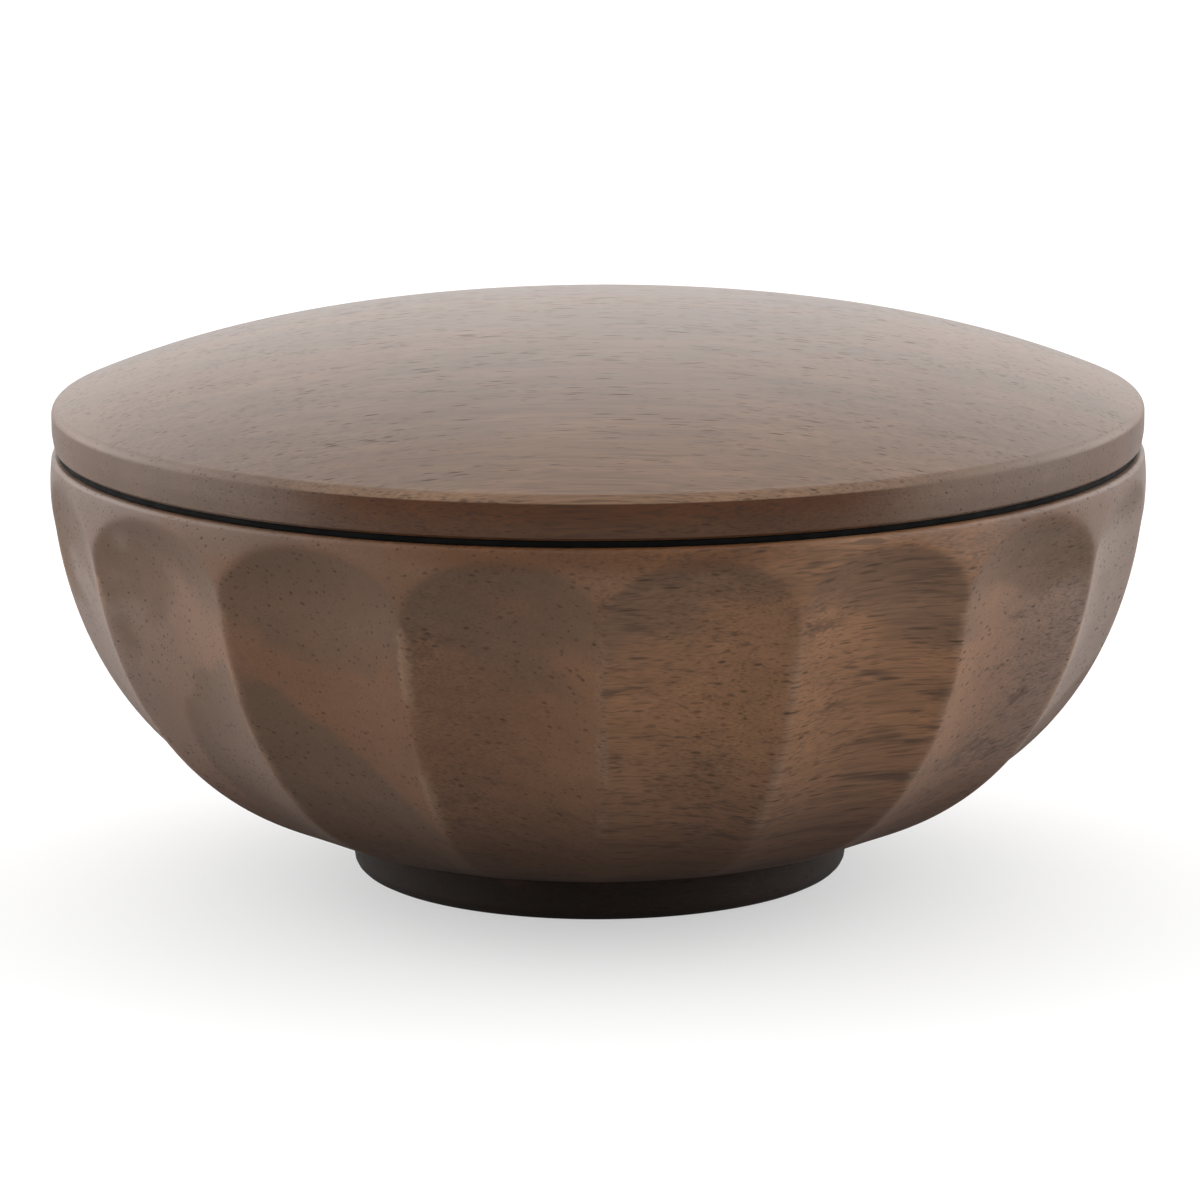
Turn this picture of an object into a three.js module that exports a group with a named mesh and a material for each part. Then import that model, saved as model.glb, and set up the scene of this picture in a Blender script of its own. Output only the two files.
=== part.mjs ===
// Lidded storage bowl in dark stained wood: a fluted bowl, a domed lid and the soft seal ring between them.
// Millimetres, +Z up. The origin is the centre of the circle that the foot stands on, and the front is at -Y.

import * as THREE from "three";
import { mergeVertices } from "three/addons/utils/BufferGeometryUtils.js";

// Body of the bowl, as turned before the flutes are cut
const BODY_RADIUS = 100;
const BODY_WIDEST_HEIGHT = 73;
const BELLY_TURN_INSET = 1.6; // the belly runs out from the foot towards this far inside the widest circle
const BELLY_REACH_UP = 10; // how far it climbs on that way
const BELLY_SIDE_REACH = 5.4; // how far down the upright stretch holds below the widest place

// Rim and mouth
const RIM_HEIGHT = 78.5;
const RIM_LEAN = 0.4; // how far the outside draws in between the widest place and the rim
const RIM_ROUND = 0.9;
const RIM_WALL = 9.6; // from the rim's outer edge in to the mouth
const MOUTH_CHAMFER = 0.6;
const MOUTH_WALL_DEPTH = 12.5; // the straight wall that takes the lid's plug

// Cavity
const FLOOR_HEIGHT = 14.5; // the middle of the cavity's floor above the table
const CAVITY_FLOOR_REACH = 50;
const CAVITY_SIDE_REACH = 36;

// Foot ring
const FOOT_RADIUS = 45.5;
const FOOT_HEIGHT = 7.6;
const FOOT_ROUND = 2.5;
const FOOT_RING_WIDTH = 11.5; // from the foot's outer edge in to the recess
const RECESS_DEPTH = 2.5;
const RECESS_SLOPE = 2;

// Flutes, cut by hand with one round tool: the bearings of the ridges between them, in degrees from the front
const RIDGE_BEARINGS = [
  0.3, 19.9, 39.5, 61.1, 82.4, 104, 125, 147, 168, 190, 211, 233, 254, 275.5, 296.4, 319.2, 340.4,
];
const FLUTE_TOOL_RADIUS = 75;
const ARCH_TOP_DEPTH = 2; // top of each arch below the rim
const ARCH_RISE = 12.1; // from where the ridges start to the top of the arch

// Lid
const LID_INSET = 0.45; // how far the lid's widest circle stays inside the bowl's
const LID_GAP = 1.2; // height of the dark line between rim and lid
const LID_SIDE_HEIGHT = 6.2;
const LID_SIDE_TAPER = 0.4; // how far the side draws in towards its lower edge
const LID_TAPER_HEIGHT = 3; // from the underside up to where the side stands upright
const LID_LOWER_CHAMFER = 0.5;
const LID_EDGE_ROUND = 2;
const LID_EDGE_TURN = 67; // degrees through which the edge turns into the dome
const LID_DOME_RISE = 15.6;
const LID_THICKNESS = 9.5; // in the middle, over the hollow
const PLUG_DEPTH = 8.2;
const PLUG_WALL = 8;
const PLUG_CHAMFER = 1;

// Seal ring
const SEAL_CLEARANCE = 0.4; // to the mouth outside and to the plug inside
const SEAL_LIP_REACH = 2.6; // from the ring's bore to the tip of its lips
const SEAL_SKIRT_WALL = 1.4;
const SEAL_SKIRT_DEPTH = 5.4;
const SEAL_LIP_PITCH = 2.2;
const SEAL_LIP_RISE = 0.7; // share of its pitch over which a lip slopes out to its tip
const SEAL_SETBACK = 1.2; // how far the flange stays behind the rim's outer edge

// Fineness of the surfaces
const FLUTE_STEPS = 4;
const SPANDREL_STEPS = 2; // on each side of an arch
const EVEN_SPREAD = 0.5; // places the points of a round row evenly
const BELLY_ROWS = 12;
const BELLY_CROWDING = 1.8; // above 1, the rows lie closer near the foot, where the belly turns most
const ARCH_ROWS = 5;
const CAVITY_ROWS = 9;
const LID_SEGMENTS = 90;
const DOME_STEPS = 8;
const EDGE_STEPS = 3;
const HALVINGS = 40; // of the search for a place on the belly's curve
const MERGE_DISTANCE = 1e-4; // points closer than this are one
const LEAST_AREA = 1e-6; // triangles below this are left out

const radians = THREE.MathUtils.degToRad;

/** A point of an outline: its distance from the axis and its height. */
const at = (radius, height) => new THREE.Vector2(radius, height);

const material = (color, roughness) => new THREE.MeshStandardMaterial({ color, roughness, metalness: 0 });

// Places that two pieces share
const rimOuterRadius = BODY_RADIUS - RIM_LEAN;
const mouthRadius = rimOuterRadius - RIM_WALL;
const sealLipRadius = mouthRadius - SEAL_CLEARANCE;
const sealBore = sealLipRadius - SEAL_LIP_REACH;
const plugRadius = sealBore - SEAL_CLEARANCE;
const lidRadius = BODY_RADIUS - LID_INSET;
const lidUnderside = RIM_HEIGHT + LID_GAP;

/** The turned outline of the belly, from the top of the foot to the widest place. */
const belly = new THREE.CubicBezierCurve(
  at(FOOT_RADIUS, FOOT_HEIGHT),
  at(BODY_RADIUS - BELLY_TURN_INSET, FOOT_HEIGHT + BELLY_REACH_UP),
  at(BODY_RADIUS, BODY_WIDEST_HEIGHT - BELLY_SIDE_REACH),
  at(BODY_RADIUS, BODY_WIDEST_HEIGHT),
);

/** Radius of the turned outside at a height above the foot. */
function turnedRadius(height) {
  if (height >= BODY_WIDEST_HEIGHT) {
    const share = (height - BODY_WIDEST_HEIGHT) / (RIM_HEIGHT - BODY_WIDEST_HEIGHT);
    return BODY_RADIUS - RIM_LEAN * share * share;
  }
  let low = 0;
  let high = 1;
  for (let halving = 0; halving < HALVINGS; halving++) {
    const middle = (low + high) / 2;
    if (belly.getPoint(middle).y < height) low = middle;
    else high = middle;
  }
  return belly.getPoint(low).x;
}

/** How deep a flute of this half angle lies under the turned circle in its middle. */
function fluteDepth(radius, halfAngle) {
  const halfWidth = radius * Math.sin(halfAngle);
  return (halfWidth * halfWidth * (1 / FLUTE_TOOL_RADIUS + 1 / radius)) / 2;
}

/**
 * One row of the bowl's skin, once round the axis. Spread is the share of its flute that an arch fills at this
 * height: 1 below the arches, 0 at their tops. A row that is cut dips into the flutes.
 */
function bowlRow(radius, height, spread, cut) {
  const row = [];
  RIDGE_BEARINGS.forEach((ridge, index) => {
    const next = RIDGE_BEARINGS[(index + 1) % RIDGE_BEARINGS.length];
    const halfAngle = radians(THREE.MathUtils.euclideanModulo(next - ridge, 360) / 2);
    const middle = radians(ridge) + halfAngle;
    const depth = cut ? fluteDepth(radius, halfAngle) * spread * spread : 0;
    const put = (offset, dip) => {
      const angle = middle + offset;
      const reach = radius - dip;
      row.push(new THREE.Vector3(reach * Math.sin(angle), -reach * Math.cos(angle), height));
    };
    const edge = spread * halfAngle;
    const spandrel = (halfAngle - edge) / SPANDREL_STEPS;
    for (let step = 0; step < SPANDREL_STEPS; step++) put(-halfAngle + step * spandrel, 0);
    for (let step = 0; step <= FLUTE_STEPS; step++) {
      const across = (2 * step) / FLUTE_STEPS - 1;
      put(across * edge, depth * (1 - across * across));
    }
    for (let step = 1; step < SPANDREL_STEPS; step++) put(edge + step * spandrel, 0);
  });
  return row;
}

/** Closes rows that run round the axis into one skin between two poles, leaving out triangles without area. */
function skin(firstPole, rows, lastPole) {
  const count = rows[0].length;
  const positions = [];
  const triangle = (a, b, c) => {
    const area = new THREE.Triangle(a, b, c).getArea();
    if (area > LEAST_AREA) positions.push(...a.toArray(), ...b.toArray(), ...c.toArray());
  };
  for (let column = 0; column < count; column++) {
    const next = (column + 1) % count;
    triangle(firstPole, rows[0][next], rows[0][column]);
    for (let row = 0; row + 1 < rows.length; row++) {
      const [low, high] = [rows[row], rows[row + 1]];
      triangle(low[column], low[next], high[next]);
      triangle(low[column], high[next], high[column]);
    }
    triangle(rows[rows.length - 1][column], rows[rows.length - 1][next], lastPole);
  }
  const geometry = new THREE.BufferGeometry();
  geometry.setAttribute("position", new THREE.Float32BufferAttribute(positions, 3));
  return mergeVertices(geometry, MERGE_DISTANCE);
}

/** Turns an outline, which starts and ends on the axis or closes on itself, about the Z axis. */
function turned(outline, segments) {
  const geometry = new THREE.LatheGeometry(outline, segments).rotateX(Math.PI / 2);
  geometry.deleteAttribute("normal");
  geometry.deleteAttribute("uv");
  return mergeVertices(geometry, MERGE_DISTANCE);
}

function makeBowl() {
  const archTop = RIM_HEIGHT - ARCH_TOP_DEPTH;
  const archBase = archTop - ARCH_RISE;
  const recessRadius = FOOT_RADIUS - FOOT_RING_WIDTH;
  const rows = [];

  // Underneath: the recess and the face that stands on the table
  rows.push(bowlRow(recessRadius - RECESS_SLOPE, RECESS_DEPTH, 1, false));
  rows.push(bowlRow(recessRadius, 0, 1, false));
  for (let step = 0; step <= EDGE_STEPS; step++) {
    const turn = (step / EDGE_STEPS) * (Math.PI / 2);
    const radius = FOOT_RADIUS - FOOT_ROUND + FOOT_ROUND * Math.sin(turn);
    rows.push(bowlRow(radius, FOOT_ROUND * (1 - Math.cos(turn)), 1, false));
  }
  rows.push(bowlRow(FOOT_RADIUS, FOOT_HEIGHT, 1, false));

  // Belly
  for (let step = 1; step <= BELLY_ROWS; step++) {
    const share = step / BELLY_ROWS;
    const height = FOOT_HEIGHT + (archBase - FOOT_HEIGHT) * share ** BELLY_CROWDING;
    rows.push(bowlRow(turnedRadius(height), height, 1, true));
  }

  // Arches
  for (let step = 1; step <= ARCH_ROWS; step++) {
    const turn = (step / ARCH_ROWS) * (Math.PI / 2);
    const height = archBase + ARCH_RISE * Math.sin(turn);
    const spread = step < ARCH_ROWS ? Math.cos(turn) : 0;
    rows.push(bowlRow(turnedRadius(height), height, spread, true));
  }

  // Rim, with its rounded outer edge and flat top
  for (let step = 0; step <= EDGE_STEPS; step++) {
    const turn = (step / EDGE_STEPS) * (Math.PI / 2);
    const radius = rimOuterRadius - RIM_ROUND * (1 - Math.cos(turn));
    rows.push(bowlRow(radius, RIM_HEIGHT - RIM_ROUND * (1 - Math.sin(turn)), EVEN_SPREAD, false));
  }
  rows.push(bowlRow(mouthRadius + MOUTH_CHAMFER, RIM_HEIGHT, 1, false));
  rows.push(bowlRow(mouthRadius, RIM_HEIGHT - MOUTH_CHAMFER, 1, false));

  // Cavity, from the foot of the mouth's straight wall to the middle of the floor
  const wallFoot = RIM_HEIGHT - MOUTH_WALL_DEPTH;
  const cavity = new THREE.CubicBezierCurve(
    at(mouthRadius, wallFoot),
    at(mouthRadius, wallFoot - CAVITY_SIDE_REACH),
    at(CAVITY_FLOOR_REACH, FLOOR_HEIGHT),
    at(0, FLOOR_HEIGHT),
  );
  for (let step = 0; step < CAVITY_ROWS; step++) {
    const point = cavity.getPoint(step / CAVITY_ROWS);
    rows.push(bowlRow(point.x, point.y, 1, false));
  }
  return skin(new THREE.Vector3(0, 0, RECESS_DEPTH), rows, new THREE.Vector3(0, 0, FLOOR_HEIGHT));
}

/** Height of the lid's dome at a share of its radius, for a dome that leaves its edge at the given slope. */
function domeHeight(share, baseHeight, baseRadius) {
  const edgeSlope = Math.tan(radians(90 - LID_EDGE_TURN));
  const shoulder = (edgeSlope * baseRadius) / LID_DOME_RISE / 2 - 1;
  return baseHeight + LID_DOME_RISE * (1 - (1 - shoulder) * share ** 2 - shoulder * share ** 4);
}

function makeLid() {
  const sideTop = lidUnderside + LID_SIDE_HEIGHT;
  const sideFootRadius = lidRadius - LID_SIDE_TAPER;
  const edgeCentre = at(lidRadius - LID_EDGE_ROUND, sideTop);
  const edgePoint = (turn) =>
    at(edgeCentre.x + LID_EDGE_ROUND * Math.cos(turn), edgeCentre.y + LID_EDGE_ROUND * Math.sin(turn));
  const domeBase = edgePoint(radians(LID_EDGE_TURN));
  const plugFoot = lidUnderside - PLUG_DEPTH;
  const hollowRadius = plugRadius - PLUG_WALL;
  const dome = (share) => domeHeight(share, domeBase.y, domeBase.x);

  // Hollow under the dome, from the axis to the plug's inner wall
  const outline = [];
  for (let step = 0; step <= DOME_STEPS; step++) {
    const radius = (hollowRadius * step) / DOME_STEPS;
    outline.push(at(radius, dome(radius / domeBase.x) - LID_THICKNESS));
  }

  // Plug, underside and side
  outline.push(at(hollowRadius, plugFoot));
  outline.push(at(plugRadius - PLUG_CHAMFER, plugFoot));
  outline.push(at(plugRadius, plugFoot + PLUG_CHAMFER));
  outline.push(at(plugRadius, lidUnderside));
  outline.push(at(sideFootRadius - LID_LOWER_CHAMFER, lidUnderside));
  outline.push(at(sideFootRadius, lidUnderside + LID_LOWER_CHAMFER));
  outline.push(at(lidRadius, lidUnderside + LID_TAPER_HEIGHT));

  // Rounded edge, then the dome back to the axis
  for (let step = 0; step < EDGE_STEPS; step++) {
    outline.push(edgePoint(radians((LID_EDGE_TURN * step) / EDGE_STEPS)));
  }
  for (let step = DOME_STEPS; step >= 0; step--) {
    const share = Math.sin((step / DOME_STEPS) * (Math.PI / 2));
    outline.push(at(domeBase.x * share, dome(share)));
  }
  return turned(outline, LID_SEGMENTS);
}

function makeSealRing() {
  const skirtRadius = sealBore + SEAL_SKIRT_WALL;
  const skirtFoot = RIM_HEIGHT - SEAL_SKIRT_DEPTH;
  const flangeRadius = rimOuterRadius - SEAL_SETBACK;
  const outline = [at(sealBore, skirtFoot), at(skirtRadius, skirtFoot)];

  // Two lips, each rising to its tip and cut back above it
  for (const lip of [0, 1]) {
    const tip = skirtFoot + SEAL_LIP_PITCH * (lip + SEAL_LIP_RISE);
    outline.push(at(sealLipRadius, tip));
    outline.push(at(skirtRadius, tip + SEAL_LIP_PITCH * (1 - SEAL_LIP_RISE)));
  }
  outline.push(at(skirtRadius, RIM_HEIGHT));
  outline.push(at(flangeRadius, RIM_HEIGHT));
  outline.push(at(flangeRadius, lidUnderside));
  outline.push(at(sealBore, lidUnderside));
  outline.push(outline[0].clone());
  return turned(outline, LID_SEGMENTS);
}

const storageBowl = new THREE.Group();
const pieces = [
  ["bowl", makeBowl(), material(0x5d4536, 0.5)],
  ["seal_ring", makeSealRing(), material(0x17110e, 0.8)],
  ["lid", makeLid(), material(0x63493a, 0.42)],
];
for (const [name, geometry, finish] of pieces) {
  geometry.computeVertexNormals();
  const mesh = new THREE.Mesh(geometry, finish);
  mesh.name = name;
  storageBowl.add(mesh);
}

export default storageBowl;
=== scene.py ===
# Looks of the lidded storage bowl: the carved bowl, the turned lid and the moulded seal ring as fine meshes,
# their stained wood and rubber, a pale studio floor, soft light and the camera.
# Sizes are in millimetres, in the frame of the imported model, and become metres when a mesh is made.

import math

import bpy
import numpy as np
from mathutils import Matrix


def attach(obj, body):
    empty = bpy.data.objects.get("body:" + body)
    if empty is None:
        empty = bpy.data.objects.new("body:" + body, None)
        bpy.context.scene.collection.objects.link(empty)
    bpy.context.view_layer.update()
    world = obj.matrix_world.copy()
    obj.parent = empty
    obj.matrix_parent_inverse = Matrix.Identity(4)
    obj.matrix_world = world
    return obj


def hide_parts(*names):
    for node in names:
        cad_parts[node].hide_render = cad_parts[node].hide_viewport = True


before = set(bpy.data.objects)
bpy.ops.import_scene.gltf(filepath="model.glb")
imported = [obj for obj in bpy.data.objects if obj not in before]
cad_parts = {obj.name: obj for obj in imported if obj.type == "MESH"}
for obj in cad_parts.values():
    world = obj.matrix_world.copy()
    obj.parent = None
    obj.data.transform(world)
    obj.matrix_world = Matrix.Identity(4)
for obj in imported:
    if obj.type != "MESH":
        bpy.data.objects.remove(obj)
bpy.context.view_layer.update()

MM = 0.001

# Outside of the bowl, as turned
BODY_RADIUS = 100
BODY_WIDEST_HEIGHT = 73
BELLY_TURN_INSET = 1.6
BELLY_REACH_UP = 10
BELLY_SIDE_REACH = 5.4
RIM_HEIGHT = 78.5
RIM_LEAN = 0.4
RIM_ROUND = 0.9
RIM_WALL = 9.6
MOUTH_CHAMFER = 0.6
MOUTH_WALL_DEPTH = 12.5

# Cavity and foot
FLOOR_HEIGHT = 14.5
CAVITY_FLOOR_REACH = 50
CAVITY_SIDE_REACH = 36
FOOT_RADIUS = 45.5
FOOT_HEIGHT = 7.6
FOOT_ROUND = 2.5
FOOT_RING_WIDTH = 11.5
RECESS_DEPTH = 2.5
RECESS_SLOPE = 2
FOOT_CREASE = 1.0  # rounding of the inner corner where the belly meets the foot

# Flutes: the bearings of the ridges between them, in degrees from the front
RIDGE_BEARINGS = [
    0.3, 19.9, 39.5, 61.1, 82.4, 104, 125, 147, 168, 190, 211, 233, 254, 275.5, 296.4, 319.2, 340.4,
]
FLUTE_TOOL_RADIUS = 75
ARCH_TOP_DEPTH = 2
ARCH_RISE = 12.1
RIDGE_SHARPNESS = 4.5  # per millimetre: the ridges and the arches' edges are rounder where this is less
RIDGE_RUB_AND_HIGHLIGHT_REACH = 3  # how far from a ridge its lighter edge can reach, part wear of the stain and part painted highlight
RIDGE_OPENING = 4  # height over which the ridges open into the rim, half of it above the arches' base
LARGEST_EXPONENT = 60  # keeps the blend of the flutes within the numbers' range
FLUTE_RUN_OUT = 6  # height above the foot over which the flutes fade in
ARCH_UNEVENNESS = 0.5  # how much the hand-cut arches differ in height
HAND_WAVE = 0.07  # depth of the slow waves that hand carving and sanding leave
HAND_WAVE_LENGTH = 9  # height in which they turn by a radian
HAND_PHASES = (2.4, 5.1)  # radians by which the two waves of a flute are ahead of the flute before it
HAND_RATIO = 1.7  # how much quicker the second wave is
SANDED = 0.05  # taken off the whole outside, so that it lies inside the turned shape

# Lid
LID_INSET = 0.45
LID_GAP = 1.2
LID_SIDE_HEIGHT = 6.2
LID_SIDE_TAPER = 0.4
LID_TAPER_HEIGHT = 3
LID_TAPER_ROUND = 10
LID_LOWER_CHAMFER = 0.5
LID_EDGE_ROUND = 2
LID_EDGE_TURN = 67
LID_DOME_RISE = 15.6
LID_THICKNESS = 9.5
PLUG_DEPTH = 8.2
PLUG_WALL = 8
PLUG_CHAMFER = 1

# Seal ring
SEAL_CLEARANCE = 0.4
SEAL_LIP_REACH = 2.6
SEAL_SKIRT_WALL = 1.4
SEAL_SKIRT_DEPTH = 5.4
SEAL_LIPS = 2
SEAL_LIP_PITCH = 2.2
SEAL_LIP_RISE = 0.7  # share of the pitch that lies below a lip's tip
SEAL_LIP_ROUND = 0.12
SEAL_SETBACK = 1.2

# Small roundings of turned corners
BREAK = 0.3
HOLLOW_CORNER = 2  # in the recess under the foot and in the hollow under the lid

# Fineness of the meshes
FLUTE_COLUMNS = 44
RIDGE_CROWDING = 0.6  # 0 spaces the columns of a flute evenly, 1 packs them at its ridges
OUTLINE_STEP = 0.9
TURNED_SEGMENTS = 384
CORNER_STEPS = 5
BELLY_START = 0.03  # share of the belly's curve that the rounding at the foot takes up
BELLY_POINTS = 130
SIDE_POINTS = 12
CAVITY_POINTS = 90
LID_EDGE_POINTS = 14
LID_HOLLOW_POINTS = 60
LID_DOME_POINTS = 110

# Camera, from the vanishing of the photograph's ellipses
CAMERA_DISTANCE = 1039.4
CAMERA_HEIGHT = 265.5
CAMERA_PITCH = 11.755  # degrees below the horizon
CAMERA_ROLL = -0.25
FOCAL_PIXELS = 5768.2
FRAME_PIXELS = 1200
OBJECT_LEFT_PIXELS = 1.3  # how far left of the frame's middle the bowl's axis stands
SENSOR_WIDTH = 36


# Shared places

rim_radius = BODY_RADIUS - RIM_LEAN
mouth_radius = rim_radius - RIM_WALL
seal_lip_radius = mouth_radius - SEAL_CLEARANCE
seal_bore = seal_lip_radius - SEAL_LIP_REACH
plug_radius = seal_bore - SEAL_CLEARANCE
lid_radius = BODY_RADIUS - LID_INSET - SANDED
lid_underside = RIM_HEIGHT + LID_GAP
lid_edge_height = lid_underside + LID_SIDE_HEIGHT - SANDED
arch_base = RIM_HEIGHT - ARCH_TOP_DEPTH - ARCH_RISE


# Outlines

def bezier(points, shares):
    """Points of a cubic curve at the given shares of its way."""
    a, b, c, d = (np.array(p, float) for p in points)
    t = shares[:, None]
    return a * (1 - t) ** 3 + 3 * b * (1 - t) ** 2 * t + 3 * c * (1 - t) * t**2 + d * t**3


def rounded(corners):
    """An outline through (radius, height, rounding) corners, each rounded off by an arc."""
    points = []
    last = len(corners) - 1
    for index, (radius, height, rounding) in enumerate(corners):
        corner = np.array((radius, height), float)
        if rounding == 0 or index in (0, last):
            points.append(corner)
            continue
        before = np.array(corners[index - 1][:2], float) - corner
        after = np.array(corners[index + 1][:2], float) - corner
        before /= np.linalg.norm(before)
        after /= np.linalg.norm(after)
        half = math.acos(np.clip(before @ after, -1, 1)) / 2
        centre = corner + (before + after) / np.linalg.norm(before + after) * rounding / math.sin(half)
        start = corner + before * rounding / math.tan(half) - centre
        end = corner + after * rounding / math.tan(half) - centre
        turn = math.atan2(start[0] * end[1] - start[1] * end[0], start @ end)
        for step in range(CORNER_STEPS + 1):
            angle = turn * step / CORNER_STEPS
            cosine, sine = math.cos(angle), math.sin(angle)
            turned = (start[0] * cosine - start[1] * sine, start[0] * sine + start[1] * cosine)
            points.append(centre + turned)
    return points


def filled(points, step=OUTLINE_STEP):
    """The same outline with points added along its long stretches."""
    dense = [np.array(points[0], float)]
    for point in points[1:]:
        start = dense[-1]
        count = max(1, math.ceil(np.linalg.norm(np.array(point) - start) / step))
        dense += [start + (np.array(point) - start) * (i + 1) / count for i in range(count)]
    return np.array(dense)


# Meshes

def make_piece(name, vertices, faces, smooth=True):
    mesh = bpy.data.meshes.new(name)
    mesh.from_pydata((np.asarray(vertices) * MM).tolist(), [], faces)
    mesh.polygons.foreach_set("use_smooth", [smooth] * len(mesh.polygons))
    mesh.update()
    piece = bpy.data.objects.new(name, mesh)
    bpy.context.scene.collection.objects.link(piece)
    return piece


def skin(rows, closed):
    """Vertices and faces of rows that run round the axis. An open skin's outer rows are its poles."""
    rings = rows if closed else rows[1:-1]
    ring_count, column_count = rings.shape[:2]
    columns = [(c, (c + 1) % column_count) for c in range(column_count)]
    faces = []
    for ring in range(ring_count if closed else ring_count - 1):
        low, high = ring * column_count, (ring + 1) % ring_count * column_count
        faces += [(low + a, low + b, high + b, high + a) for a, b in columns]
    vertices = rings.reshape(-1, 3)
    if closed:
        return vertices, faces
    first_pole, last_pole = len(vertices), len(vertices) + 1
    last_ring = len(vertices) - column_count
    faces += [(first_pole, b, a) for a, b in columns]
    faces += [(last_ring + a, last_ring + b, last_pole) for a, b in columns]
    return np.vstack([vertices, rows[0, :1], rows[-1, :1]]), faces


def turned_rows(outline, bearings):
    """Rows round the axis for an outline of (radius, height) points."""
    radius, height = outline[:, :1], outline[:, 1:]
    return np.stack(
        [radius * np.sin(bearings), -radius * np.cos(bearings), height + 0 * bearings],
        axis=-1,
    )


def round_bearings():
    return np.arange(TURNED_SEGMENTS) / TURNED_SEGMENTS * 2 * math.pi


# Bowl

ridges = np.radians(RIDGE_BEARINGS)
flute_halves = (np.roll(ridges, -1) - ridges) % (2 * math.pi) / 2
flute_middles = ridges + flute_halves


def flute_bearings():
    """Bearings of the bowl's columns, closer together at the ridges."""
    even = np.arange(FLUTE_COLUMNS) / FLUTE_COLUMNS * 2 - 1
    across = (1 - RIDGE_CROWDING) * even + RIDGE_CROWDING * np.sin(even * math.pi / 2)
    return (flute_middles[:, None] + flute_halves[:, None] * across).ravel()


def hand_made(number, values):
    """A slow wave between -1 and 1 that differs from flute to flute."""
    first, second = (number * phase for phase in HAND_PHASES)
    return (np.sin(values + first) + np.sin(values * HAND_RATIO + second)) / 2


def across_flutes(bearings):
    """Where the bearings lie across each flute, from -1 at its left ridge to 1 at its right one."""
    offset = (bearings - flute_middles[:, None] + math.pi) % (2 * math.pi) - math.pi
    return offset / flute_halves[:, None]


def flute_fade(height):
    """0 where the flutes have run out at the foot, 1 where they are whole."""
    fade = np.clip((height - FOOT_HEIGHT) / FLUTE_RUN_OUT, 0, 1)
    return fade * fade * (3 - 2 * fade)


def flute_dip(radius, height, bearings):
    """How far the flutes lie under the turned outside."""
    number = np.arange(len(ridges))[:, None]
    across = across_flutes(bearings)
    half_width = radius * np.sin(flute_halves[:, None])
    depth = half_width**2 * (1 / FLUTE_TOOL_RADIUS + 1 / radius) / 2
    lowered = ARCH_UNEVENNESS * (0.5 + 0.5 * hand_made(number, 0))
    rise = np.maximum(height - arch_base, 0) / (ARCH_RISE - lowered)
    cut = depth * (1 - rise**2 - across**2)
    cut += HAND_WAVE * hand_made(number, height / HAND_WAVE_LENGTH) * np.clip(1 - across**2, 0, 1)
    weights = np.exp(np.clip(RIDGE_SHARPNESS * cut, -LARGEST_EXPONENT, LARGEST_EXPONENT))
    return np.log(1 + weights.sum(axis=0)) / RIDGE_SHARPNESS * flute_fade(height) + SANDED


def flute_share(radius, height, bearings):
    """1 where the flutes are cut, 0 on the turned wood that is left above and between their arches."""
    return 1 - np.exp(-RIDGE_SHARPNESS * (flute_dip(radius, height, bearings) - SANDED))


def ridge_nearness(radius, height, bearings):
    """1 on a ridge between two flutes, 0 away from it and where the ridges open into the rim."""
    distance = np.abs(1 - np.abs(across_flutes(bearings))) * radius * np.sin(flute_halves[:, None])
    near = np.clip(1 - distance.min(axis=0) / RIDGE_RUB_AND_HIGHLIGHT_REACH, 0, 1)
    opening = np.clip((arch_base + RIDGE_OPENING / 2 - height) / RIDGE_OPENING, 0, 1)
    return near * flute_fade(height) * opening


def bowl_outline():
    """The bowl's turned outline from the recess under its foot to the middle of its floor."""
    recess_radius = FOOT_RADIUS - FOOT_RING_WIDTH
    belly_curve = [
        (FOOT_RADIUS, FOOT_HEIGHT),
        (BODY_RADIUS - BELLY_TURN_INSET, FOOT_HEIGHT + BELLY_REACH_UP),
        (BODY_RADIUS, BODY_WIDEST_HEIGHT - BELLY_SIDE_REACH),
        (BODY_RADIUS, BODY_WIDEST_HEIGHT),
    ]
    belly = bezier(belly_curve, np.linspace(BELLY_START, 1, BELLY_POINTS))
    foot = rounded([
        (0, RECESS_DEPTH, 0),
        (recess_radius - RECESS_SLOPE, RECESS_DEPTH, HOLLOW_CORNER),
        (recess_radius, 0, BREAK),
        (FOOT_RADIUS, 0, FOOT_ROUND),
        (FOOT_RADIUS, FOOT_HEIGHT, FOOT_CREASE),
        (*belly[0], 0),
    ])
    upright = np.linspace(0, 1, SIDE_POINTS)[1:-2]
    side = np.stack(
        [
            BODY_RADIUS - RIM_LEAN * upright**2,
            BODY_WIDEST_HEIGHT + (RIM_HEIGHT - BODY_WIDEST_HEIGHT) * upright,
        ],
        axis=-1,
    )
    wall_foot = RIM_HEIGHT - MOUTH_WALL_DEPTH
    rim = rounded([
        (*side[-1], 0),
        (rim_radius, RIM_HEIGHT, RIM_ROUND),
        (mouth_radius + MOUTH_CHAMFER, RIM_HEIGHT, BREAK),
        (mouth_radius, RIM_HEIGHT - MOUTH_CHAMFER, BREAK),
        (mouth_radius, wall_foot, 0),
    ])
    cavity_curve = [
        (mouth_radius, wall_foot),
        (mouth_radius, wall_foot - CAVITY_SIDE_REACH),
        (CAVITY_FLOOR_REACH, FLOOR_HEIGHT),
        (0, FLOOR_HEIGHT),
    ]
    cavity = bezier(cavity_curve, np.linspace(0, 1, CAVITY_POINTS))
    return filled([*foot, *belly[1:], *side, *rim[1:], *cavity[1:]])


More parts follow.
